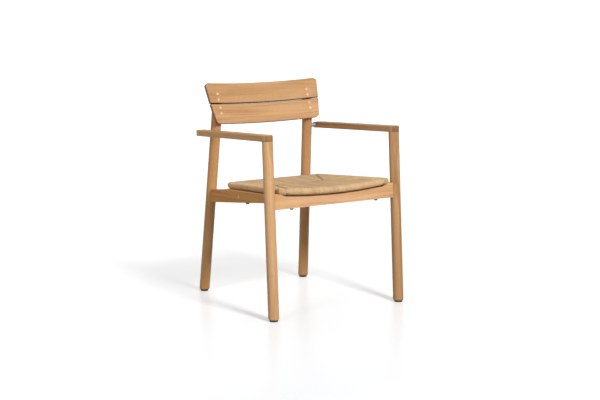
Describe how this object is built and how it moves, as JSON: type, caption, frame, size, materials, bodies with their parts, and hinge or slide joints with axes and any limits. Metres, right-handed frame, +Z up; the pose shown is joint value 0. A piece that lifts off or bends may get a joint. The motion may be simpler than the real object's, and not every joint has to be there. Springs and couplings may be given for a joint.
{
  "type": "dining armchair",
  "caption": "Wooden dining armchair with round legs, flat arms on steel spacers, a curved slatted backrest and a woven cord seat over a scooped front rail.",
  "frame": {"origin": "on the floor, midway between the front and the back feet and midway between the two sides", "axes": "+X to the sitter's left hand as seen from the front (across the chair), -Y the front of the chair, +Z up"},
  "size_m": [0.581, 0.5908, 0.7874],
  "materials": {
    "teak": "oiled, satin, fine straight grain",
    "plug_wood": "sanded end grain, lighter than the frame",
    "paper_cord": "matte twisted cord, sand colour",
    "steel": "satin",
    "black_plastic": "matte",
    "black_rubber": "matte"
  },
  "bodies": {
    "root": {"leg_front_left": "teak", "leg_front_right": "teak", "post_back_left": "teak", "post_back_right": "teak", "rail_front": "teak", "rail_left": "teak", "rail_right": "teak", "rail_cross_middle": "teak", "rail_cross_back": "teak", "rail_cleat": "teak", "arm_left": "teak", "arm_right": "teak", "slat_upper": "teak", "slat_lower": "teak", "seat_bar_front": "teak", "seat_bar_back": "teak", "seat_bar_left": "teak", "seat_bar_right": "teak", "slat_plugs": "plug_wood", "arm_plugs": "plug_wood", "rail_plugs": "plug_wood", "arm_dowels": "plug_wood", "rail_dowels": "plug_wood", "arm_spacer_left": "steel", "arm_spacer_right": "steel", "slat_screws": "steel", "arm_screws": "steel", "rail_screws": "steel", "cleat_screws": "steel", "seat_screws": "steel", "glide_front_left": "black_plastic", "glide_front_right": "black_plastic", "glide_back_left": "black_plastic", "glide_back_right": "black_plastic", "bumpers_front": "black_rubber", "bumpers_side": "black_rubber", "seat_weave": "paper_cord"}
  },
  "joints": []
}
